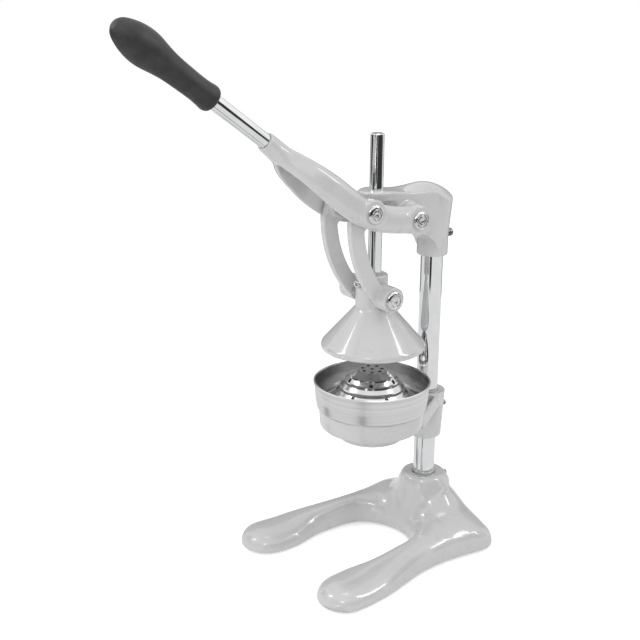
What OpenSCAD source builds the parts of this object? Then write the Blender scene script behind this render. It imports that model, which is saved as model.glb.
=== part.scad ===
// Lever citrus press on a column stand, in millimetres, Z up, lever pointing to -Y.
// A hand lever turns on the top bracket and drives the pressing bell down through two
// curved links. The bell meets a stepped strainer that sits in a removable juice bowl.
// Sizes are written from the press axis (x = 0, y = 0); shift_y moves the whole object so
// that the origin lies under the middle of its bounding box.

/* [Stand] */
// Radius of the column tube
col_r = 11; // [9:0.5:14]
// Distance from the press axis back to the column axis
col_y = 72.8; // [65:0.1:85]
// Height of the underside of the base above the table, which is the foot thickness
foot_h = 2; // [1:0.5:5]
// Radius of the round toe at the end of each leg
toe_r = 26.9; // [22:0.1:32]
// Sideways position of the toe centres
toe_x = 65.7; // [55:0.1:75]
// Forward position of the toe centres
toe_y = -81.2; // [-95:0.1:-70]
// Crown height of the toes above the table
toe_h = 21; // [15:0.5:28]
// Radius of the column boss at its top edge
boss_r = 22.5; // [18:0.5:28]
// Height of the top of the column boss
boss_z = 66; // [55:1:80]
// Wall thickness of the hollow base casting
cast_wall = 4; // [3:0.5:7]

/* [Top bracket] */
// Height of the blind end of the column socket in the bracket
socket_top = 352; // [340:1:356]
// Underside of the bracket collar
collar_z = 300; // [290:1:312]
// Radius of the guide nose round the rod
nose_r = 17.4; // [14:0.1:20]
// Half width of the bracket between its side faces
brk_w = 16.5; // [12:0.5:20]

/* [Lever] */
// Lever pivot, distance behind the press axis
piv_y = 24; // [10:0.5:35]
// Lever pivot height
piv_z = 346; // [330:0.5:360]
// Crank pin, distance in front of the press axis
crank_y = -30; // [-40:0.5:-20]
// Crank pin height at rest
crank_z = 358.5; // [345:0.5:370]
// Half width of the yoke over its cheeks
yoke_w = 35; // [30:0.5:40]
// Thickness of each yoke cheek
cheek_t = 10; // [6:0.5:12]
// Height of the lever tube axis at the mouth of the yoke socket
mouth_z = 427.2; // [415:0.1:440]
// Distance of that mouth in front of the press axis
mouth_y = -123.8; // [-135:0.1:-110]
// Slope of the lever tube above the horizontal, in degrees
lever_deg = 36.3; // [30:0.1:45]
// Radius of the lever tube
tube_r = 6.75; // [6:0.25:8]
// Distance from the socket mouth to the tip of the hand grip
grip_tip = 168; // [150:1:190]

/* [Press] */
// Radius of the bell at its rim
bell_r = 50.4; // [45:0.1:52]
// Height of the bell rim at rest
bell_z = 217.8; // [210:0.1:230]
// Radius of the guide rod
rod_r = 6.5; // [5:0.25:8]
// Height of the top of the guide rod at rest
rod_top = 424; // [400:1:440]
// Link pivot on the bell neck, height at rest
low_z = 273.5; // [265:0.5:280]
// Link pivot, distance in front of the press axis
low_y = -4; // [-8:0.5:0]
// Inner face of the link plates
link_in = 16.5; // [15:0.5:18]
// Thickness of the link plates
link_t = 7; // [5:0.5:8]

/* [Bowl] */
// Radius of the bowl lip
bowl_r = 57.4; // [54:0.1:60]
// Height of the bowl lip
bowl_z = 184; // [178:0.5:190]
// Height of the seam between the bowl and its holder
seam_z = 156.5; // [150:0.5:160]
// Wall thickness of the bowl and strainer sheet
sheet_t = 1.2; // [0.8:0.1:2]
// Height of the strainer's top disc
cone_z = 194.6; // [185:0.1:198]
// Radius of the strainer's top disc
cone_r = 15.2; // [12:0.1:18]

/* [Hidden] */
shift_y = 72.5335;
$fn = 96;
paint = [0.80, 0.80, 0.80];
chrome = [0.86, 0.87, 0.89];
steel = [0.72, 0.73, 0.74];
dark = [0.16, 0.16, 0.17];

// ---------- helpers ----------
// Smooth curve through rows of numbers: n steps between each two rows
function cr(a, b, c, d, t) = 0.5 * (2 * b + (c - a) * t + (2 * a - 5 * b + 4 * c - d) * t * t
  + (3 * b - a - 3 * c + d) * t * t * t);
function curve(p, n) = let (m = len(p) - 1) concat([for (i = [0:m - 1]) for (j = [0:n - 1])
  cr(p[max(i - 1, 0)], p[i], p[i + 1], p[min(i + 2, m)], j / n)], [p[m]]);
function lim(v, a, b) = min(max(v, a), b);
function pw(v, n) = v <= 0 ? 0 : pow(v, n);

// Closed solid through a list of sections that all have the same number of points
module skin(s) {
  m = len(s[0]);
  k = len(s);
  polyhedron(points = [for (r = s) for (p = r) p], faces = concat(
    [[for (i = [0:m - 1]) i]], [[for (i = [m - 1:-1:0]) (k - 1) * m + i]],
    [for (a = [0:k - 2]) for (i = [0:m - 1]) [a * m + i, (a + 1) * m + i, a * m + (i + 1) % m]],
    [for (a = [0:k - 2]) for (i = [0:m - 1])
      [a * m + (i + 1) % m, (a + 1) * m + i, (a + 1) * m + (i + 1) % m]]));
}

// Draws a flat outline given in (y, z) and gives it thickness between two x values
module slab(x0, x1) translate([x0, 0, 0]) rotate([90, 0, 90]) linear_extrude(x1 - x0) children();
// Cylinder along X between two x values
module rod_x(x0, x1, r, y, z, fn = 64) translate([x0, y, z]) rotate([0, 90, 0])
  cylinder(h = x1 - x0, r = r, $fn = fn);
// Cylinder along Y between two y values
module rod_y(y0, y1, r, z, fn = 48) translate([0, y1, z]) rotate([90, 0, 0])
  cylinder(h = y1 - y0, r = r, $fn = fn);
module both() { children(); mirror([1, 0, 0]) children(); }
// Frame of the lever tube: local Z runs from the socket mouth towards the tip
module on_lever() translate([0, mouth_y, mouth_z]) rotate([90 - lever_deg, 0, 0]) children();
// Set screw with a hexagon socket, pointing to +Y from its tip to its head
module grub(tip, end, r, z) difference() {
  union() {
    rod_y(tip, end - 3, r - 0.6, z);
    rod_y(end - 3, end, r, z);
  }
  rod_y(end - 2, end + 1, r * 0.5, z, 6);
}

// ---------- base casting ----------
foot_at = [[66, -83], [62.5, 90]]; // centres of the feet on one side
rear_h = 29.5; // crown height round the column, before the boss flare is added
// Rows: inner edge x and y, outer edge x and y, crown height, share of the width that
// rounds down to the inner wall, and how square the outer shoulder is
leg_rows = [
  [toe_x - toe_r - 0.6, toe_y + 1.5, toe_x + toe_r - 0.4, toe_y + 1.5, toe_h, 0.5, 2.3],
  [38, -60, 91, -62, 21.5, 0.46, 2.3], [43, -42, 88, -42, 23.5, 0.4, 2.3],
  [46, -26, 83.5, -24, 25.5, 0.34, 2.3], [46.3, -8, 78.5, -4, 27, 0.3, 2.4],
  [45.5, 8, 75, 14, 28, 0.28, 2.5], [42, 20, 74, 36, 29, 0.24, 2.6],
  [36, 28, 75, 58, rear_h, 0.2, 2.8], [29, 33.5, 78, 78, rear_h, 0.16, 3],
  [23, 37, 80, 92, rear_h, 0.14, 3], [17.5, 39.3, 74, 104.5, rear_h, 0.13, 3],
  [12.5, 40.8, 60, 111.5, rear_h, 0.12, 3], [8, 41.7, 38, 114.8, rear_h, 0.12, 3],
  [4, 42, 18, 115.8, rear_h, 0.12, 3], [0, 42, 0, 116, rear_h, 0.12, 3]];
toe_rows = [for (a = [3, 10, 18, 28, 40, 53, 67, 80]) [toe_x - toe_r * sin(a),
  toe_y - toe_r * cos(a), toe_x + toe_r * sin(a), toe_y - toe_r * cos(a),
  foot_h + (toe_h - foot_h) * pw(1 - pow(cos(a), 2.3), 1 / 2.3), 0.5, 2.3]];
// Height that the flare of the column boss adds, d being the distance from the column axis
function flare(d) = (boss_z - rear_h) * pw(lim((52 - d) / (52 - boss_r), 0, 1), 2.2);
function crown(c, h) = let (d = norm([c[0], c[1] - col_y]))
  h + flare(max(d, 27)) - 1.2 * lim((32 - d) / 4, 0, 1);
function shoulder(q, n) = q >= 1 ? 1 : pw(1 - pw(1 - q, n), 1 / n);
// One section, w inside the casting's outer face: a dome over a flat bottom
function base_sec(r, side, n, w) = let (a = [r[0], r[1]], b = [r[2], r[3]],
    u = (b - a) / norm(b - a), p = a + u * w, q = b - u * w, bot = w > 0 ? 0 : foot_h)
  concat([[side * p[0], p[1], bot]],
    [for (i = [0:n]) let (t = 0.5 - 0.5 * cos(180 * i / n), c = p + (q - p) * t)
      [side * c[0], c[1], foot_h + 0.3 + (crown(c, r[4]) - w - foot_h - 0.3)
        * shoulder(t / r[5], 2.4) * shoulder((1 - t) / (1 - r[5]), r[6])]],
    [[side * q[0], q[1], bot]]);
module base_skin(rows, n, w, m) skin(concat([for (r = rows) base_sec(r, 1, n, w)],
  [for (i = [len(rows) - m:-1:0]) base_sec(rows[i], -1, n, w)]));
// The hollow's sections lie halfway between those of the outer face
hollow_rows = [for (i = [1:len(leg_rows) - 2]) (leg_rows[i] + leg_rows[i + 1]) / 2];

module base() color(paint) difference() {
  union() {
    difference() {
      base_skin(concat(toe_rows, curve(leg_rows, 2)), 22, 0, 2);
      base_skin(hollow_rows, 11, cast_wall, 1);
    }
    // boss for the column, with its flare
    translate([0, col_y, 0]) rotate_extrude() polygon(concat([[0, 8], [25, 8],
      [28, 34]], [for (d = [28:-1.2:boss_r + 0.8]) [d, rear_h + flare(d)]],
      [[boss_r, boss_z - 1.2], [boss_r - 1, boss_z], [0, boss_z]]));
    // pillars in the hollow for the rear feet; the toes are solid over the front ones
    both() translate([foot_at[1][0], foot_at[1][1], foot_h]) {
      cylinder(h = 8, r = 10.5, $fn = 48);
      cylinder(h = 20, r = 6, $fn = 48);
    }
  }
  translate([0, col_y, 20]) cylinder(h = 60, r = col_r);
  translate([0, col_y, boss_z - 1.6]) cylinder(h = 3, r1 = col_r, r2 = col_r + 2);
  rod_y(col_y, 120, 2.4, 55);
}
module base_feet() color(dark) both() for (p = foot_at)
  translate([p[0], p[1], 0]) cylinder(h = foot_h, r = 9, $fn = 48);
module base_set_screw() color(steel) grub(col_y + col_r, 104, 3, 55);

// ---------- column and top bracket ----------
module column() color(chrome) translate([0, col_y, 0]) difference() {
  translate([0, 0, 20]) cylinder(h = socket_top - 20, r = col_r);
  translate([0, 0, 19]) cylinder(h = socket_top - 18, r = col_r - 1.5);
}
// Arm of the bracket, seen from the side: underside from the nose plate to the collar
arm_line = curve([[0, 362.7], [8, 361.6], [11.5, 356], [14, 347], [17, 338.5], [21, 333.6],
  [28, 330.4], [39, 327.6], [47, 325.4], [54, 321.8], [59, 318], [62.5, 314], [65, 308]], 2);
// The collar flares into the head: radius and height
head_line = curve([[15.2, 318], [15.6, 326], [16.5, 337], [17.4, 347], [18, 354], [18.3, 362]], 2);
// Crown of the casting. Rows: y, height at the side faces, height in the middle
crown_rows = curve([[-19, 370.4, 371], [0, 372, 372.6], [12, 370.9, 371.6], [24, 368.7, 370.6],
  [34, 367.8, 371], [43, 367.3, 372.2], [52, 366.4, 373.4], [60, 364.8, 373.4], [68, 362, 371.8],
  [75, 358.9, 369.2], [81, 355.6, 366.2], [86, 352.2, 362.8], [90, 348.8, 358.8], [93, 345, 354.6],
  [96, 341, 349.6]], 2);
function crown_sec(r) = concat([[20, r[0], 290], [-20, r[0], 290]],
  [for (i = [-8:8]) let (x = 20 * sin(90 * i / 8)) [x, r[0], r[2] - (r[2] - r[1]) * pow(abs(x) / brk_w, 2.2)]]);
module top_bracket() color(paint) difference() {
  union() {
    intersection() {
      skin([for (r = crown_rows) crown_sec(r)]);
      union() {
        translate([0, 0, 362.7]) cylinder(h = 20, r = nose_r);
        slab(-brk_w, brk_w) polygon(concat(arm_line, [[col_y, 308], [col_y, 382], [0, 382]]));
        translate([0, col_y, 0]) rotate_extrude() polygon(concat([[0, collar_z], [15.2, collar_z]],
          head_line, [[18.3, 382], [0, 382]]));
      }
    }
    both() rod_x(brk_w - 1, 24.7, 15, piv_y, piv_z);
  }
  translate([0, col_y, collar_z - 1]) cylinder(h = socket_top - collar_z + 1, r = col_r);
  translate([0, 0, 340]) cylinder(h = 60, r = rod_r + 0.08);
  rod_x(-40, 40, 4.5, piv_y, piv_z);
  rod_y(col_y, 100, 3.5, 319);
}
module bracket_set_screw() color(steel) grub(col_y + col_r, 96.5, 4.1, 319);

// Flat round screw head with a hexagon socket, pointing to +X
module head(x, r, h, y, z) translate([x, y, z]) rotate([0, 90, 0]) difference() {
  rotate_extrude($fn = 64) polygon([[0, 0], [r, 0], [r, h - 0.3], [r - 0.3, h], [0, h]]);
  translate([0, 0, h - 0.5]) cylinder(h = h, r = r * 0.45, $fn = 6);
}
// Domed washer with a round seat that takes a screw head, pointing to +X
module cup_washer(x, r, h, hole, seat, y, z) translate([x, y, z]) rotate([0, 90, 0])
  rotate_extrude($fn = 64) polygon([[hole, 0], [r, 0], [r, h * 0.4], [r - 0.3, h * 0.6],
    [r - 1.2, h * 0.82], [seat + 1.4, h], [seat, h], [seat - 0.2, h - 1], [hole, h - 1]]);
// Thin flat washer, pointing to +X
module washer(x, r, h, hole, y, z) translate([x, y, z]) rotate([0, 90, 0]) rotate_extrude($fn = 64)
  polygon([[hole, 0], [r, 0], [r, h - 0.4], [r - 0.4, h], [hole, h]]);

// Pivot pin of the lever: it crosses the bracket and both yoke cheeks
module lever_pivot_pin() color(chrome) {
  difference() {
    rod_x(-43, 38, 4.5, piv_y, piv_z);
    rod_x(-44, -42.2, 1.6, piv_y, piv_z, 6);
  }
  head(37.9, 5.4, 0.9, piv_y, piv_z);
}
module lever_pivot_washers() color(chrome) both() cup_washer(yoke_w + 1.3, 9, 2.6, 4.5, 5.8, piv_y, piv_z);
module lever_pivot_nut() color(steel) difference() {
  rod_x(-42, -38.9, 7, piv_y, piv_z, 6);
  rod_x(-44, -37, 4.5, piv_y, piv_z);
}

// ---------- bowl holder, bowl and strainer ----------
module bowl_holder() color(paint) difference() {
  union() {
    rotate_extrude() polygon([[25.5, 125], [32, 125], [32.7, 125.7], [33.2, 130.4], [34.5, 131.6],
      [40, 133], [45, 135.4], [48, 136.3], [50, 137.6], [51, 139.8], [52, seam_z], [25.5, seam_z]]);
    // arm to the column, arched below
    slab(-15, 15) polygon([[30, 150], [47, 150.4], [54, 152.6], [61, 156], [66, 157.8], [72.8, 158],
      [72.8, 109], [57.6, 109], [56.6, 113.5], [54, 118.5], [50, 122.8], [45, 126], [39, 129],
      [30, 131]]);
    translate([0, col_y, 108.5]) cylinder(h = 49.5, r1 = 16, r2 = 18.7);
  }
  // cup for the bowl with its sloping floor, and the spout opening
  rotate_extrude() polygon([[0, 120], [25.5, 120], [25.5, 133], [30, 135.8], [44, 139.6],
    [46.8, 141], [47.6, 143.5], [47.6, 170], [0, 170]]);
  translate([0, col_y, 100]) cylinder(h = 70, r = col_r + 0.08);
  rod_y(col_y, 110, 2.4, 137);
}
module holder_set_screw() color(steel) grub(col_y + col_r + 0.3, 98, 3, 137);

// Outer line of the bowl from lip to spout; the sheet lies inside it
module juice_bowl() color(steel) rotate_extrude() polygon([[bowl_r - 1, bowl_z], [bowl_r, bowl_z - 0.7],
  [bowl_r, bowl_z - 2], [bowl_r - 0.9, bowl_z - 2.6], [55.9, 175], [55.4, 167], [54, seam_z + 1],
  [53.2, seam_z], [46.9, seam_z], [46.7, 147], [45.8, 144], [44, 142.6], [30, 138.6], [15, 131.4],
  [13, 129.6], [12.4, 127], [12.4, 118.6], [12.4 - sheet_t, 118.6], [12.4 - sheet_t, 127.2],
  [12, 130.3], [14.4, 132.6], [29.6, 139.9], [43.4, 143.8], [44.7, 144.9], [45.5, 147.2],
  [45.7, seam_z + sheet_t], [52.4, seam_z + sheet_t], [54.2, 167.1], [54.8, 175],
  [bowl_r - 2.2, bowl_z - 1.4], [bowl_r - 1.7, bowl_z - 0.3]]);

// Top line of the strainer: radius and height of each tread and riser
cone_line = [[cone_r - 1, cone_z], [cone_r, cone_z - 0.4], [20.6, 190.7], [22.2, 190], [22.7, 188.4],
  [25.5, 185.1], [26.9, 184.2], [27.4, 182.2], [30, 178.7], [31.4, 177.7], [31.9, 175.6], [34.4, 172.5],
  [35.8, 171.5], [36.4, 169.2], [40.5, 164.8], [44, 162.6], [48.6, 161.4], [49.8, 160.6],
  [50.2, 159.4], [50.2, seam_z + sheet_t]];
module strainer_cone() color(chrome) difference() {
  rotate_extrude() polygon(concat([[0, cone_z]], cone_line, [for (i = [len(cone_line) - 1:-1:0])
    let (p = cone_line[i]) [p[0] - (i > 12 ? 1.1 : 0.9), i > 17 ? p[1] : p[1] - 0.9]],
    [[0, cone_z - 0.9]]));
  // eight holes in the top disc
  translate([0, 0, cone_z - 3]) {
    cylinder(h = 6, r = 1.9, $fn = 32);
    for (a = [0:6]) rotate(a * 360 / 7 + 10) translate([9.6, 0, 0]) cylinder(h = 6, r = 1.9, $fn = 32);
  }
  // square slots in the second step, round holes in the fourth
  for (a = [0:5]) rotate(19 + 60 * a) translate([24.3, 0, 185]) cube([3, 3.6, 8], center = true);
  for (a = [0:5]) rotate(47 + 60 * a) translate([33.4, 0, 165]) cylinder(h = 15, r = 1.9, $fn = 32);
  for (a = [0:11]) rotate(19 + 30 * a) translate([43, 0, 155]) cylinder(h = 15, r = 1.9, $fn = 32);
}

// ---------- press ----------
// Bell with its neck: a conical shell, open below, with a blind bore for the rod
module press_bell() color(paint) difference() {
  union() {
    rotate_extrude() polygon([[0, bell_z], [bell_r - 1, bell_z], [bell_r, bell_z + 1],
      [bell_r, bell_z + 4], [bell_r - 0.8, bell_z + 5.6], [17.8, 259.5], [16, 262.2], [0, 262.2]]);
    intersection() {
      translate([0, low_y + 0.8, 250]) cylinder(h = 42, r = 15.4);
      translate([-14.5, -40, 240]) cube([29, 80, 80]);
    }
  }
  rotate_extrude() polygon([[0, 217], [48, 217], [47, 218.6], [46.6, 221], [12, 257.4],
    [9, 258.6], [0, 258.6]]);
  translate([0, 0, 280]) cylinder(h = 20, r = rod_r);
  rod_x(-20, 20, 4.5, low_y, low_z);
  rod_y(-40, 0, 3.3, 284.8);
}
module guide_rod() color(chrome) rotate_extrude() polygon([[0, 280], [rod_r, 280],
  [rod_r, rod_top - 0.8], [rod_r - 0.8, rod_top], [0, rod_top]]);
module rod_set_screw() color(steel) mirror([0, 1, 0]) grub(rod_r, 21.8, 3.9, 284.8);
// Shoulder bolts of the links with their button heads
module link_pivot_bolts() color(chrome) both() {
  rod_x(3, 36.5, 4.5, low_y, low_z);
  head(36.4, 5.4, 0.8, low_y, low_z);
}
module link_washers() color(chrome) both() {
  cup_washer(34.8, 9.4, 2.6, 4.5, 5.8, low_y, low_z);
  washer(14.5, 10, 1.7, 4.5, low_y, low_z);
}

// ---------- links ----------
// Four corners where the common tangents touch two circles
function turned(v, a) = [v[0] * cos(a) - v[1] * sin(a), v[0] * sin(a) + v[1] * cos(a)];
function tangents(c, r, d, s) = let (u = (d - c) / norm(d - c), f = acos((r - s) / norm(d - c)),
  m = turned(u, f), n = turned(u, -f)) [c + r * m, d + s * m, d + s * n, c + r * n];
// Curved strap of a link in (y, z), between the crank pin and the bell neck
module strap() intersection() {
  translate([67.5, 349]) difference() {
    circle(r = 115, $fn = 180);
    circle(r = 99.5, $fn = 180);
  }
  polygon([[-60, 350], [-30, 350], [20, 280], [-4, low_z], [-24, 262]]);
}
module link() difference() {
  union() {
    slab(link_in, link_in + link_t) strap();
    rod_x(link_in, 34.5, 12, low_y, low_z);
    // eye end, blended into the strap by a smaller circle and their common tangents
    rod_x(11, link_in + link_t, 12.5, crank_y, crank_z);
    rod_x(link_in, link_in + link_t, 8, -38.6, 345);
    slab(link_in, link_in + link_t) polygon(tangents([crank_y, crank_z], 12.5, [-38.6, 345], 8));
  }
  rod_x(0, 60, 4.55, low_y, low_z);
  rod_x(0, 60, 8.4, crank_y, crank_z);
}
module link_near() color(paint) link();
module link_far() color(paint) mirror([1, 0, 0]) link();

// ---------- lever ----------
// Rows: lower edge y and z, upper edge y and z, half width, half width of the channel
yoke_rows = [[-129, 420.1, -118.6, 434.3, 8.85, 0], [-119, 411.5, -108.3, 426.6, 9.3, 0],
  [-111, 404.8, -99.5, 419.5, 13, 3], [-104, 398.5, -91.5, 415, 20, 9],
  [-97, 391.5, -83, 409.5, 26, 15.5], [-88, 383, -73, 403.3, 29.6, 19.6],
  [-78, 373.5, -62, 396, 32, 22], [-68, 364.5, -51, 388, 33.8, 23.8],
  [-58, 357, -41.5, 381, 35, 25], [-47, 349.5, -33, 375.5, 35, 25],
  [-36, 344.3, -24, 371, 35, 25], [-25, 340, -14, 366.8, 35, 25],
  [-12, 336.5, -3, 363.8, 35, 25], [2, 334.2, 8, 361.8, 35, 25],
  [14, 332.7, 17, 360.6, 35, 25], [24, 332, 24, 360, 35, 25]];
function yoke_sec(r) = let (l = [r[0], r[1]], u = [r[2], r[3]], k = lim((r[4] - 9) / 20, 0, 1))
  [for (i = [0:27]) let (a = (i + 0.5) * 360 / 28, n = 2 + (sin(a) > 0 ? 1.2 : 3.5) * k,
      c = cos(a), s = sin(a), p = l + (u - l) * (0.5 + 0.5 * sign(s) * pow(abs(s), 2 / n)))
    [-r[4] * sign(c) * pow(abs(c), 2 / n), p[0], p[1]]];
// Channel below the web: open downwards, its roof follows the top of the yoke
function chan_sec(r) = let (l = [r[0], r[1]], u = [r[2], r[3]], n = (u - l) / norm(u - l),
    a = l - 20 * n, b = u - 7 * n, c = u - 11 * n, w = r[5])
  [[w, a[0], a[1]], [-w, a[0], a[1]], [-w, c[0], c[1]], [-w * 0.85, b[0], b[1]],
    [w * 0.85, b[0], b[1]], [w, c[0], c[1]]];
module lever_yoke() color(paint) difference() {
  union() {
    skin([for (r = curve(yoke_rows, 2)) yoke_sec(r)]);
    both() {
      rod_x(yoke_w - cheek_t, yoke_w + 1, 13.9, piv_y, piv_z);
      rod_x(yoke_w - cheek_t, yoke_w + 1, 13, crank_y, crank_z);
    }
  }
  skin([for (i = [2:9]) chan_sec(yoke_rows[i])]);
  translate([-25, -51, 300]) cube([50, 120, 100]);
  both() rod_x(20, 50, 4.55, piv_y, piv_z);
  both() rod_x(20, 50, 4, crank_y, crank_z);
  on_lever() translate([0, 0, -22]) cylinder(h = 40, r = tube_r);
}
module lever_tube() color(chrome) on_lever() difference() {
  translate([0, 0, -22]) cylinder(h = 172, r = tube_r);
  translate([0, 0, -23]) cylinder(h = 174, r = tube_r - 1.5);
}
// Grip outline: distance along the lever and radius
grip_rows = [[62, 8.6], [63.2, 10.4], [65.5, 11.4], [68, 11.5], [73, 10.9], [81, 10.5], [93, 10.8],
  [104, 11.2], [113, 11.9], [123, 13.5], [130, 14.8], [137, 15.4], [144, 15], [150, 13.9],
  [156, 12.1], [161, 10], [164.6, 7.6], [167, 4.4]];
module hand_grip() color(dark) on_lever() rotate_extrude() polygon(concat([[tube_r, 62]],
  [for (p = curve(grip_rows, 2)) [p[1], p[0]]], [[0, grip_tip], [0, 150], [tube_r, 150]]));
module crank_pin() color(chrome) {
  rod_x(-42.2, 37.7, 4, crank_y, crank_z);
  head(37.6, 4.4, 0.8, crank_y, crank_z);
}
module crank_pin_washers() color(chrome) both() cup_washer(yoke_w + 1, 8.8, 2.6, 4, 4.8, crank_y, crank_z);
module crank_pin_nut() color(steel) difference() {
  rod_x(-41.4, -38.6, 6.6, crank_y, crank_z, 6);
  rod_x(-44, -37, 4, crank_y, crank_z);
}

module place() translate([0, shift_y, 0]) children();
place() base();
place() base_feet();
place() base_set_screw();
place() column();
place() top_bracket();
place() bracket_set_screw();
place() lever_pivot_pin();
place() lever_pivot_washers();
place() lever_pivot_nut();
place() bowl_holder();
place() holder_set_screw();
place() juice_bowl();
place() strainer_cone();
place() press_bell();
place() guide_rod();
place() rod_set_screw();
place() link_pivot_bolts();
place() link_washers();
place() link_near();
place() link_far();
place() lever_yoke();
place() lever_tube();
place() hand_grip();
place() crank_pin();
place() crank_pin_washers();
place() crank_pin_nut();
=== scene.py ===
import bpy
import bmesh
import math
from mathutils import Matrix, Vector


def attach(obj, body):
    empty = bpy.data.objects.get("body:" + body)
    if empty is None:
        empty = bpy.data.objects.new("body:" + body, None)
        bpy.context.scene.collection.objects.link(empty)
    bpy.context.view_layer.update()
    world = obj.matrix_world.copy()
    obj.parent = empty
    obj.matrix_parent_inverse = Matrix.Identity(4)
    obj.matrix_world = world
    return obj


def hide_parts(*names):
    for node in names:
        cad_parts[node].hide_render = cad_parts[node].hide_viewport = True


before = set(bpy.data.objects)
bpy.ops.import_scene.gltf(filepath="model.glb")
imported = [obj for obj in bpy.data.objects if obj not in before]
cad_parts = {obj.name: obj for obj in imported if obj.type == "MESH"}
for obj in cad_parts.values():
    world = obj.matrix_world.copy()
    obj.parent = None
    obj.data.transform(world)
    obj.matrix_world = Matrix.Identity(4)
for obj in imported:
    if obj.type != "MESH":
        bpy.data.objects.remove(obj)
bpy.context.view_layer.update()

# --- Camera -------------------------------------------------------------------
# The photograph was taken from the lever's right, a little above the bell and from about
# one metre away. The press axis stands press_y behind the frame's origin.
press_y = 0.0725335
image_width = 640
sensor_width = 36.0
focal_pixels = 1089.68
camera_place = Vector((0.7698, -0.6363 + press_y, 0.5673))
yaw = math.radians(53.369)
pitch = math.radians(17.935)
roll = math.radians(0.412)
lens = bpy.data.cameras.new("camera")
lens.sensor_width = sensor_width
lens.lens = focal_pixels * sensor_width / image_width
lens.clip_start = 0.05
look = Vector((-math.sin(yaw) * math.cos(pitch), math.cos(yaw) * math.cos(pitch), -math.sin(pitch)))
right = look.cross(Vector((0, 0, 1))).normalized()
up = right.cross(look)
tilt = Matrix.Rotation(-roll, 3, look)
camera = bpy.data.objects.new("camera", lens)
camera.matrix_world = (Matrix.Translation(camera_place)
                       @ Matrix((tilt @ right, tilt @ up, -look)).transposed().to_4x4())
bpy.context.scene.collection.objects.link(camera)
bpy.context.scene.camera = camera

# --- Studio -------------------------------------------------------------------
# A white floor in a white world, with soft boxes at both sides, in front and above. Both
# are white to the eye and in the chrome, and the floor keeps the shadow.
world_light = 0.57
world_seen = 1.0
floor_half = 3.0
floor_glow = 0.5
floor_in_metal = 0.8


def plain_light(nodes, kind, level):
    light = nodes.new(kind)
    light.inputs["Color"].default_value = (1, 1, 1, 1)
    light.inputs["Strength"].default_value = level
    return light.outputs[0]


def shown_to(nodes, links, rays, usual, special):
    """The special shader for rays of the named kinds, and the usual one for all others."""
    path = nodes.new("ShaderNodeLightPath")
    chosen = path.outputs[rays[0]]
    for ray in rays[1:]:
        either = nodes.new("ShaderNodeMath")
        either.operation = "MAXIMUM"
        links.new(chosen, either.inputs[0])
        links.new(path.outputs[ray], either.inputs[1])
        chosen = either.outputs[0]
    mix = nodes.new("ShaderNodeMixShader")
    links.new(chosen, mix.inputs["Fac"])
    links.new(usual, mix.inputs[1])
    links.new(special, mix.inputs[2])
    return mix.outputs[0]


def set_up(name, shape, material):
    mesh = bpy.data.meshes.new(name)
    shape.to_mesh(mesh)
    shape.free()
    mesh.materials.append(material)
    thing = bpy.data.objects.new(name, mesh)
    bpy.context.scene.collection.objects.link(thing)
    return thing


def white_world():
    world = bpy.data.worlds.new("studio")
    world.use_nodes = True
    nodes = world.node_tree.nodes
    links = world.node_tree.links
    nodes.clear()
    usual = plain_light(nodes, "ShaderNodeBackground", world_light)
    seen = plain_light(nodes, "ShaderNodeBackground", world_seen)
    rays = ("Is Camera Ray", "Is Transmission Ray", "Is Glossy Ray")
    sky = nodes.new("ShaderNodeOutputWorld")
    links.new(shown_to(nodes, links, rays, usual, seen), sky.inputs["Surface"])
    return world


def white_floor():
    material = bpy.data.materials.new("floor_white")
    material.use_nodes = True
    nodes = material.node_tree.nodes
    links = material.node_tree.links
    paper = nodes["Principled BSDF"]
    paper.inputs["Base Color"].default_value = (0.92, 0.92, 0.92, 1)
    paper.inputs["Roughness"].default_value = 0.7
    paper.inputs["Specular IOR Level"].default_value = 0.2
    lifted = nodes.new("ShaderNodeAddShader")
    links.new(paper.outputs[0], lifted.inputs[0])
    links.new(plain_light(nodes, "ShaderNodeEmission", floor_glow), lifted.inputs[1])
    to_eye = shown_to(nodes, links, ("Is Camera Ray",), paper.outputs[0], lifted.outputs[0])
    in_metal = plain_light(nodes, "ShaderNodeEmission", floor_in_metal)
    links.new(shown_to(nodes, links, ("Is Glossy Ray",), to_eye, in_metal),
              nodes["Material Output"].inputs["Surface"])
    return material


bpy.context.scene.view_settings.view_transform = "Standard"
bpy.context.scene.world = white_world()
ground = bmesh.new()
bmesh.ops.create_grid(ground, x_segments=1, y_segments=1, size=floor_half)
floor = set_up("floor", ground, white_floor())


def soft_box(name, place, aim, wide, high, watts):
    light = bpy.data.lights.new(name, "AREA")
    light.shape = "RECTANGLE"
    light.size = wide
    light.size_y = high
    light.energy = watts
    lamp = bpy.data.objects.new(name, light)
    lamp.location = place
    lamp.rotation_euler = (Vector(aim) - Vector(place)).to_track_quat("-Z", "Y").to_euler()
    bpy.context.scene.collection.objects.link(lamp)


soft_box("key_left", (-0.9, -1.3, 1.3), (0, 0, 0.25), 0.30, 0.9, 7)
soft_box("key_right", (1.15, 1.2, 1.35), (0, 0, 0.25), 0.24, 0.9, 6)
soft_box("key_front", (1.15, -1.25, 1.35), (0, 0, 0.2), 0.36, 0.45, 4.5)
soft_box("top_light", (0.1, 0.1, 1.8), (0, 0.05, 0.2), 0.4, 0.6, 2)
soft_box("low_fill", (0.5, -1.3, 0.25), (0, 0, 0.4), 0.5, 0.3, 2.5)

# --- Dark cards ---------------------------------------------------------------
# Painted reflections: dark cards that only glossy rays see, mirrored by metal and enamel while they light
# and shade nothing.
# They are an open wall on the camera's side, two strips on the floor before it and a grey card behind the
# press.
cards_centre = Vector((0, 0.11, 0))
card_steps = 12
wall_reach = 0.9
wall_top = 0.62
back_top = 0.7
strip_height = 0.003
strip_start = 0.12
strip_end = 0.34


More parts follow.
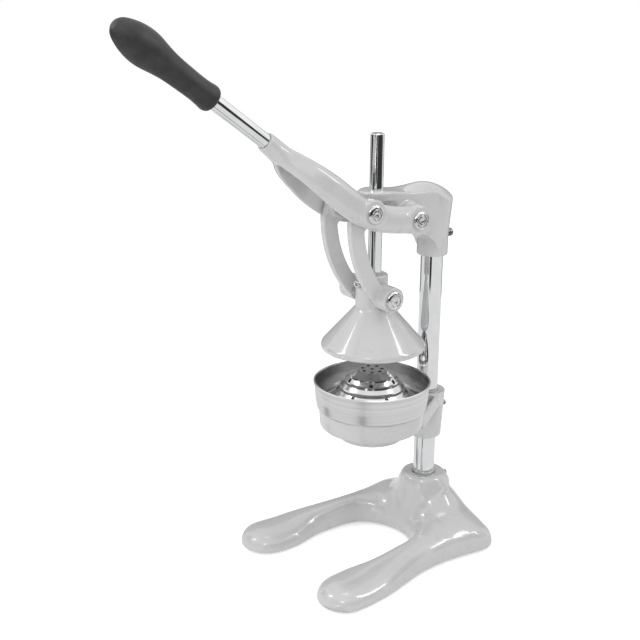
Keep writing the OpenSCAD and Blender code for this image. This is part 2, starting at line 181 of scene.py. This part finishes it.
def reflection_card(name, start, end, foot, head, reflection_shade):
    """A band round the press from one azimuth to another; foot and head are (reach, height)."""
    first = math.radians(start)
    band = bmesh.new()
    rim = [band.verts.new(cards_centre + Vector((math.cos(first) * reach, math.sin(first) * reach, height)))
           for reach, height in (foot, head)]
    edge = band.edges.new(rim)
    bmesh.ops.spin(band, geom=[*rim, edge], cent=cards_centre, axis=(0, 0, 1),
                   angle=math.radians(end - start), steps=card_steps, use_merge=False,
                   use_duplicate=False)
    material = bpy.data.materials.new(name)
    material.use_nodes = True
    nodes = material.node_tree.nodes
    links = material.node_tree.links
    nodes.remove(nodes["Principled BSDF"])
    # Painted reflection: a dark glow for glossy rays only. Every other ray passes through the card.
    clear = nodes.new("ShaderNodeBsdfTransparent").outputs[0]
    dark = plain_light(nodes, "ShaderNodeEmission", reflection_shade)
    links.new(shown_to(nodes, links, ("Is Glossy Ray",), clear, dark),
              nodes["Material Output"].inputs["Surface"])
    sheet = set_up(name, band, material)


reflection_card("reflection_wall_far_left", -152, -106, (wall_reach, 0.13), (wall_reach, wall_top), 0.06)
reflection_card("reflection_wall_left", -101, -63, (wall_reach, 0.06), (wall_reach, wall_top), 0.04)
reflection_card("reflection_wall_middle", -59, -38, (wall_reach, 0.0), (wall_reach, wall_top), 0.03)
reflection_card("reflection_wall_right", -34, 38, (wall_reach, 0.14), (wall_reach, wall_top), 0.04)
reflection_card("reflection_wall_edge", 44, 60, (wall_reach, 0.14), (wall_reach, wall_top), 0.10)
reflection_card("reflection_wall_behind", 92, 196, (wall_reach, -0.05), (wall_reach, back_top), 0.30)
reflection_card("reflection_strip_left", -142, -131, (strip_start, strip_height), (strip_end, strip_height), 0.06)
reflection_card("reflection_strip_middle", -66, -56, (strip_start, strip_height), (strip_end, strip_height), 0.05)

# --- Base ---------------------------------------------------------------------
# One horseshoe casting in aluminium, hollow below, with a boss for the column. It is
# shot blasted and coated with a thick glossy light grey enamel that rounds every edge.
weld_gap = 0.00001
noise_low = 0.3
noise_high = 0.7


def new_material(name, colour, metal, rough):
    material = bpy.data.materials.new(name)
    material.use_nodes = True
    shader = material.node_tree.nodes["Principled BSDF"]
    shader.inputs["Base Color"].default_value = (*colour, 1)
    shader.inputs["Metallic"].default_value = metal
    shader.inputs["Roughness"].default_value = rough
    return material, material.node_tree.nodes, material.node_tree.links, shader


def noise(nodes, links, scale, detail, stretch=(1, 1, 1)):
    """Noise on the piece's own coordinates; a stretch below 1 draws it out along that axis."""
    own = nodes.new("ShaderNodeTexCoord")
    lay = nodes.new("ShaderNodeMapping")
    lay.inputs["Scale"].default_value = stretch
    cloud = nodes.new("ShaderNodeTexNoise")
    cloud.inputs["Scale"].default_value = scale
    cloud.inputs["Detail"].default_value = detail
    links.new(own.outputs["Object"], lay.inputs["Vector"])
    links.new(lay.outputs["Vector"], cloud.inputs["Vector"])
    return cloud.outputs["Fac"]


def span(nodes, links, source, low, high, start=noise_low, end=noise_high):
    spread = nodes.new("ShaderNodeMapRange")
    spread.inputs["From Min"].default_value = start
    spread.inputs["From Max"].default_value = end
    spread.inputs["To Min"].default_value = low
    spread.inputs["To Max"].default_value = high
    links.new(source, spread.inputs["Value"])
    return spread.outputs["Result"]


def shades(nodes, links, source, dark, light):
    ramp = nodes.new("ShaderNodeValToRGB")
    first, last = ramp.color_ramp.elements
    first.position = noise_low
    first.color = (*dark, 1)
    last.position = noise_high
    last.color = (*light, 1)
    links.new(source, ramp.inputs["Fac"])
    return ramp.outputs["Color"]


def relief(nodes, links, source, strength, distance, below=None):
    bump = nodes.new("ShaderNodeBump")
    bump.inputs["Strength"].default_value = strength
    bump.inputs["Distance"].default_value = distance
    links.new(source, bump.inputs["Height"])
    if below:
        links.new(below, bump.inputs["Normal"])
    return bump.outputs["Normal"]


def enamel():
    material, nodes, links, shader = new_material("grey_enamel", (0.62, 0.62, 0.62), 0.0, 0.3)
    shader.inputs["Coat Weight"].default_value = 1.0
    shader.inputs["Coat Roughness"].default_value = 0.03
    wave = noise(nodes, links, 38.0, 2.0)
    peel = noise(nodes, links, 700.0, 3.0)
    tone = shades(nodes, links, wave, (0.605, 0.605, 0.605), (0.632, 0.632, 0.631))
    links.new(tone, shader.inputs["Base Color"])
    links.new(span(nodes, links, wave, 0.24, 0.36), shader.inputs["Roughness"])
    flow = relief(nodes, links, wave, 0.06, 0.0008)
    skin = relief(nodes, links, peel, 0.02, 0.0002, flow)
    links.new(skin, shader.inputs["Normal"])
    links.new(skin, shader.inputs["Coat Normal"])
    return material


def merged_copy(node, name):
    piece = bpy.data.objects.new(name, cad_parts[node].data.copy())
    bpy.context.scene.collection.objects.link(piece)
    shape = bmesh.new()
    shape.from_mesh(piece.data)
    bmesh.ops.remove_doubles(shape, verts=shape.verts, dist=weld_gap)
    shape.to_mesh(piece.data)
    shape.free()
    return piece


def take_part(piece, node, body, material):
    piece.data.materials.clear()
    piece.data.materials.append(material)
    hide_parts(node)
    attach(piece, body)


def smooth(shape, verts, rounds):
    for turn in range(rounds):
        bmesh.ops.smooth_vert(shape, verts=verts, factor=0.5,
                              use_axis_x=True, use_axis_y=True, use_axis_z=True)


def casting(node, body, cell, rounds, prepare=None, reshape=None, soft_part=None, soft_rounds=0):
    """The CAD casting with its edges and inner corners rounded as sand casting and enamel
    leave them. It may be prepared before the remesh, and reshaped and softened after it."""
    piece = merged_copy(node, node + "_casting")
    if prepare:
        shape = bmesh.new()
        shape.from_mesh(piece.data)
        prepare(shape)
        shape.to_mesh(piece.data)
        shape.free()
    skin = piece.modifiers.new("skin", "REMESH")
    skin.mode = "VOXEL"
    skin.voxel_size = cell
    bpy.context.view_layer.update()
    ready = piece.evaluated_get(bpy.context.evaluated_depsgraph_get())
    piece.data = bpy.data.meshes.new_from_object(ready)
    piece.modifiers.clear()
    shape = bmesh.new()
    shape.from_mesh(piece.data)
    if reshape:
        for vert in shape.verts:
            reshape(vert)
    smooth(shape, shape.verts, rounds)
    if soft_part:
        smooth(shape, [vert for vert in shape.verts if soft_part(vert)], soft_rounds)
    for face in shape.faces:
        face.smooth = True
    shape.to_mesh(piece.data)
    shape.free()
    take_part(piece, node, body, grey_enamel)


def smooth_step(low, high, value):
    part = min(1.0, max(0.0, (value - low) / (high - low)))
    return part * part * (3 - 2 * part)


# The arch's rear rim lies low in front of the boss, and the shoulders beside and behind
# the boss stand high. Sides are degrees round the column, 0 towards the arch.
column_y = press_y + 0.0728
flat_height = 0.012
upward = 0.05
arch_drop = 0.62
arch_sides = (15, 65)
arch_start = (0.0245, 0.031)
arch_end = (0.040, 0.058)
shoulder_lift = 0.008
shoulder_blend = 0.015
shoulder_sides = (55, 100)
shoulder_start = (0.022, 0.034)
shoulder_end = (0.042, 0.085)
foot_reach = (0.0240, 0.072)
foot_heights = (0.014, 0.052)
foot_rounds = 120
roof_drop = 0.003
roof_facing = -0.2
roof_height = 0.02


def from_column(vert):
    return math.hypot(vert.co.x, vert.co.y - column_y)


def shape_boss(vert):
    reach = from_column(vert)
    side = math.degrees(math.atan2(abs(vert.co.x), column_y - vert.co.y))
    drop = ((1 - smooth_step(*arch_sides, side)) * smooth_step(*arch_start, reach)
            * (1 - smooth_step(*arch_end, reach)))
    lift = 0.0
    if vert.normal.z >= upward:
        lift = (smooth_step(*shoulder_sides, side) * smooth_step(*shoulder_start, reach)
                * (1 - smooth_step(*shoulder_end, reach)))
    above = vert.co.z - flat_height
    if above > 0:
        vert.co.z = (flat_height + above * (1 - arch_drop * drop)
                     + shoulder_lift * lift * min(1.0, above / shoulder_blend))


def boss_foot(vert):
    return (foot_reach[0] < from_column(vert) < foot_reach[1]
            and foot_heights[0] < vert.co.z < foot_heights[1] and vert.normal.z > upward)


def lower_roof(shape):
    """The roof of the hollow comes down, so that the wall under the boss's foot stays whole."""
    shape.normal_update()
    roof = [vert for vert in shape.verts if vert.normal.z < roof_facing and vert.co.z > roof_height]
    for vert in roof:
        vert.co.z -= roof_drop


grey_enamel = enamel()
casting("base", "stand", cell=0.0012, rounds=14, prepare=lower_roof, reshape=shape_boss,
        soft_part=boss_foot, soft_rounds=foot_rounds)

# --- Base feet ----------------------------------------------------------------
# Four flat pads of black rubber under the legs and the back of the base. They are
# moulded and stuck to the underside of the casting.


def finish_node(node, material):
    """A CAD node that keeps its shape and takes a finished material."""
    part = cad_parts[node]
    if not part.data.materials:
        part.data.materials.append(material)
    for place in part.material_slots:
        place.material = material


def foot_rubber():
    material, nodes, links, shader = new_material("foot_rubber", (0.022, 0.022, 0.022), 0.0, 0.8)
    cloud = noise(nodes, links, 240.0, 4.0)
    tone = shades(nodes, links, cloud, (0.018, 0.018, 0.018), (0.034, 0.034, 0.033))
    links.new(tone, shader.inputs["Base Color"])
    grain = noise(nodes, links, 1500.0, 3.0)
    links.new(relief(nodes, links, grain, 0.3, 0.0002), shader.inputs["Normal"])
    return material


finish_node("base_feet", foot_rubber())

# --- Column, guide rod and lever tube -----------------------------------------
# Drawn steel tube and bar, ground to size and chrome plated to a mirror. The column is
# clamped in base and bracket, the rod in the bell's neck, the tube pressed in the yoke.


def chrome_plate():
    material, nodes, links, shader = new_material("chrome_plate", (0.84, 0.85, 0.86), 1.0, 0.05)
    haze = noise(nodes, links, 60.0, 3.0)
    grinding = noise(nodes, links, 900.0, 2.0, (1, 1, 0.04))
    tone = shades(nodes, links, haze, (0.80, 0.81, 0.82), (0.87, 0.875, 0.88))
    links.new(tone, shader.inputs["Base Color"])
    links.new(span(nodes, links, haze, 0.03, 0.08), shader.inputs["Roughness"])
    links.new(relief(nodes, links, grinding, 0.04, 0.0001), shader.inputs["Normal"])
    return material


chrome = chrome_plate()
for node in ("column", "guide_rod", "lever_tube"):
    finish_node(node, chrome)

# --- Top bracket --------------------------------------------------------------
# Aluminium casting, enamelled like the base and clamped on top of the column. Its nose
# guides the rod, and its two ears carry the lever's pivot pin.
casting("top_bracket", "stand", cell=0.0008, rounds=9)

# --- Bowl holder --------------------------------------------------------------
# Enamelled aluminium casting: a ring that the bowl sits in, an arm, and a collar clamped
# on the column. Two flanges run from the sides of the ring up to the top of the collar.
ring_end = (0.0365, 0.037, 0.134, 0.1495)
collar_end = (0.0180, 0.077, 0.146, 0.1578)
flange_wall = 0.004
flange_slant = 0.45


def flanges(shape):
    """Each end gives the outer x, y behind the press axis, lower and upper height."""
    for hand in (-1, 1):
        bar = bmesh.ops.create_cube(shape, size=1.0)["verts"]
        for vert in bar:
            x, y, low, high = collar_end if vert.co.y > 0 else ring_end
            inside = flange_wall if vert.co.x < 0 else 0.0
            vert.co = Vector((hand * (x - inside), y - inside * flange_slant + press_y,
                              high if vert.co.z > 0 else low))
        if hand < 0:
            bmesh.ops.reverse_faces(shape, faces=list({face for vert in bar for face in vert.link_faces}))


casting("bowl_holder", "holder", cell=0.0008, rounds=5, prepare=flanges)

# --- Juice bowl ---------------------------------------------------------------
# Spun stainless sheet with a rolled lip and a spout below, which stands loose in the
# holder's ring. Its outside is brushed round the axis on the wheel.
wheel_lines = 330.0
edge_blend = 0.006


def brushed(name, dark, light, roughness, inside):
    """Steel with fine lines round the press axis. The side that faces the axis is darkened
    by the factor inside, as painted shade for the hollows that face it."""
    material, nodes, links, shader = new_material(name, light, 1.0, roughness[0])
    own = nodes.new("ShaderNodeTexCoord")
    centred = nodes.new("ShaderNodeMapping")
    centred.inputs["Location"].default_value = (0, -press_y, 0)
    height = nodes.new("ShaderNodeSeparateXYZ")
    outward = nodes.new("ShaderNodeVectorMath")
    outward.operation = "MULTIPLY"
    outward.inputs[1].default_value = (1, 1, 0)
    radius = nodes.new("ShaderNodeVectorMath")
    radius.operation = "LENGTH"
    rings = nodes.new("ShaderNodeCombineXYZ")
    links.new(own.outputs["Object"], centred.inputs["Vector"])
    links.new(centred.outputs["Vector"], outward.inputs[0])
    links.new(outward.outputs["Vector"], radius.inputs[0])
    links.new(centred.outputs["Vector"], height.inputs["Vector"])
    links.new(radius.outputs["Value"], rings.inputs["X"])
    links.new(height.outputs["Z"], rings.inputs["Y"])
    lines = nodes.new("ShaderNodeTexNoise")
    lines.inputs["Scale"].default_value = wheel_lines
    lines.inputs["Detail"].default_value = 4.0
    links.new(rings.outputs["Vector"], lines.inputs["Vector"])
    inner_shade_mask = nodes.new("ShaderNodeVectorMath")
    inner_shade_mask.operation = "DOT_PRODUCT"
    links.new(own.outputs["Normal"], inner_shade_mask.inputs[0])
    links.new(outward.outputs["Vector"], inner_shade_mask.inputs[1])
    tone = nodes.new("ShaderNodeVectorMath")
    tone.operation = "SCALE"
    links.new(shades(nodes, links, lines.outputs["Fac"], dark, light), tone.inputs[0])
    # Painted shade: faces turned towards the press axis are darkened down to the factor inside.
    side = span(nodes, links, inner_shade_mask.outputs["Value"], inside, 1.0, -edge_blend, edge_blend)
    links.new(side, tone.inputs["Scale"])
    links.new(tone.outputs["Vector"], shader.inputs["Base Color"])
    cloud = noise(nodes, links, 30.0, 3.0)
    links.new(span(nodes, links, cloud, *roughness), shader.inputs["Roughness"])
    links.new(relief(nodes, links, lines.outputs["Fac"], 0.08, 0.0002), shader.inputs["Normal"])
    return material


finish_node("juice_bowl", brushed("brushed_stainless", (0.70, 0.70, 0.70), (0.84, 0.84, 0.84),
                                  roughness=(0.26, 0.36), inside=0.6))

# --- Strainer -----------------------------------------------------------------
# Stepped cone pressed from stainless sheet and pierced, then polished on the wheel. Its
# flange lies loose on the step in the bowl.
finish_node("strainer_cone", brushed("polished_stainless", (0.66, 0.66, 0.66), (0.80, 0.80, 0.80),
                                     roughness=(0.16, 0.24), inside=0.8))

# --- Press bell ---------------------------------------------------------------
# Conical aluminium casting with a neck, enamelled like the base. The rod is clamped in
# the neck, and the links are bolted to its sides.
casting("press_bell", "press", cell=0.0009, rounds=6)

# --- Links --------------------------------------------------------------------
# Two curved straps, mirror images of each other, cast and enamelled like the yoke. Their
# lower eyes turn on the neck's bolts and their upper eyes on the crank pin.
for node in ("link_near", "link_far"):
    casting(node, "links", cell=0.0006, rounds=6)

# --- Lever yoke ---------------------------------------------------------------
# Enamelled aluminium casting that holds the lever's tube in a socket and forks into two
# cheeks, which turn on the pivot pin and carry the crank pin.
casting("lever_yoke", "lever", cell=0.0008, rounds=9)

# --- Pins, bolts, washers and nuts --------------------------------------------
# Turned steel, nickel plated and bright. The heads sit in domed cup washers, and the
# bolts and pins go through the cheeks, the bracket's ears, the links and the neck.
sharp_angle = math.radians(28)
flat_angle = math.radians(0.5)
shading_angle = math.radians(40)
turned_edge = 0.00018


def turned_copy(node, body, material):
    piece = merged_copy(node, node + "_turned")
    shape = bmesh.new()
    shape.from_mesh(piece.data)
    bmesh.ops.dissolve_limit(shape, angle_limit=flat_angle, verts=shape.verts, edges=shape.edges)
    sharp = [edge for edge in shape.edges
             if len(edge.link_faces) == 2 and edge.calc_face_angle(0) > sharp_angle]
    bmesh.ops.bevel(shape, geom=sharp, offset=turned_edge, affect="EDGES", segments=2, profile=0.5,
                    material=-1, clamp_overlap=True)
    for face in shape.faces:
        face.smooth = True
    shape.to_mesh(piece.data)
    shape.free()
    piece.data.set_sharp_from_angle(angle=shading_angle)
    take_part(piece, node, body, material)


def turned_metal(name, dark, light, roughness):
    material, nodes, links, shader = new_material(name, light, 1.0, roughness[0])
    cloud = noise(nodes, links, 180.0, 3.0)
    links.new(shades(nodes, links, cloud, dark, light), shader.inputs["Base Color"])
    links.new(span(nodes, links, cloud, *roughness), shader.inputs["Roughness"])
    turning = noise(nodes, links, 2200.0, 2.0)
    links.new(relief(nodes, links, turning, 0.06, 0.0001), shader.inputs["Normal"])
    return material


nickel = turned_metal("bright_nickel", (0.66, 0.66, 0.66), (0.80, 0.80, 0.80), (0.10, 0.2))
for node, body in (("lever_pivot_pin", "stand"), ("lever_pivot_washers", "stand"),
                   ("lever_pivot_nut", "stand"), ("crank_pin", "lever"),
                   ("crank_pin_washers", "lever"), ("crank_pin_nut", "lever"),
                   ("link_pivot_bolts", "press"), ("link_washers", "press"),
                   ("rod_set_screw", "press")):
    turned_copy(node, body, nickel)

# --- Set screws ---------------------------------------------------------------
# Socket set screws of oiled dark steel at the backs of base, bracket and holder. Two
# clamp the column in its sockets, and the third clamps the holder on the column.
oiled = turned_metal("oiled_steel", (0.20, 0.20, 0.20), (0.36, 0.36, 0.36), (0.22, 0.36))
for node, body in (("base_set_screw", "stand"), ("bracket_set_screw", "stand"),
                   ("holder_set_screw", "holder")):
    turned_copy(node, body, oiled)

# --- Hand grip ----------------------------------------------------------------
# Moulded in black plastic with a fine matt grain and pressed over the end of the
# lever's tube.


def grip_plastic():
    material, nodes, links, shader = new_material("grip_plastic", (0.028, 0.028, 0.029), 0.0, 0.48)
    cloud = noise(nodes, links, 90.0, 4.0)
    tone = shades(nodes, links, cloud, (0.022, 0.022, 0.023), (0.036, 0.036, 0.037))
    links.new(tone, shader.inputs["Base Color"])
    wear = noise(nodes, links, 60.0, 3.0)
    links.new(span(nodes, links, wear, 0.42, 0.56), shader.inputs["Roughness"])
    grain = noise(nodes, links, 2400.0, 3.0)
    links.new(relief(nodes, links, grain, 0.35, 0.00025), shader.inputs["Normal"])
    return material


finish_node("hand_grip", grip_plastic())
